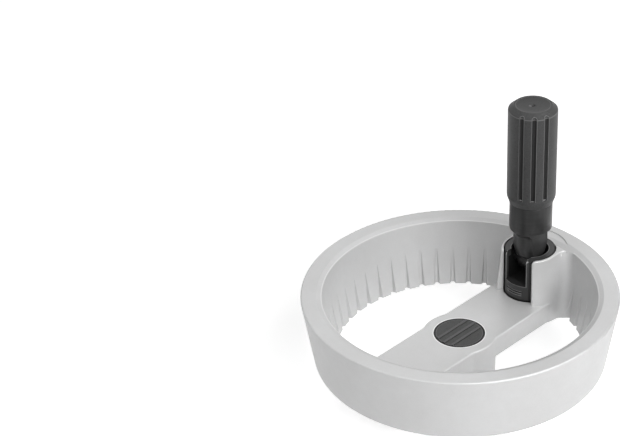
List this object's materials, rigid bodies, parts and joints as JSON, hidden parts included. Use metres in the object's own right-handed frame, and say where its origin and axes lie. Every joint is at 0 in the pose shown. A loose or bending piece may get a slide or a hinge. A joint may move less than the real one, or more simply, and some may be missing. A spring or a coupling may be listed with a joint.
{
  "type": "machine handwheel",
  "caption": "Two-spoke cast aluminium machine handwheel with a deep conical rim, a hub cover and a revolving cylindrical grip that folds flat inside the rim.",
  "frame": {"origin": "centre of the shaft bore at the hub's rear face", "axes": "+Z along the shaft axis towards the operator, +X towards the grip, +Y across the spokes"},
  "size_m": [0.1596, 0.1596, 0.133],
  "materials": {
    "cast_aluminium": "satin, fine blasted and lacquered casting",
    "black_plastic": "matte moulded",
    "black_steel": "turned and blackened",
    "bright_steel": "bright, ground or coiled"
  },
  "bodies": {
    "wheel": {"wheel_body": "cast_aluminium", "hub_cover": "black_plastic", "grip_housing": "black_plastic", "pivot_pin": "bright_steel", "brake_washer_left": "bright_steel", "brake_washer_right": "bright_steel", "brake_spring_left": "bright_steel", "brake_spring_right": "bright_steel", "housing_screw_left": "bright_steel", "housing_screw_right": "bright_steel"},
    "stem": {"grip_neck": "black_steel", "grip_spindle": "bright_steel", "lower_thrust_washer": "bright_steel", "upper_thrust_washer": "bright_steel"},
    "sleeve": {"grip_sleeve": "black_plastic", "grip_end_cap": "black_plastic"}
  },
  "joints": [
    {"name": "grip_fold", "type": "hinge", "parent": "wheel", "child": "stem", "pos_m": [0.0555, 0, 0.0424], "axis": [0, -1, 0], "range_deg": [0, 90]},
    {"name": "grip_spin", "type": "hinge", "parent": "stem", "child": "sleeve", "pos_m": [0.0555, 0, 0.1], "axis": [0, 0, 1], "continuous": true}
  ]
}
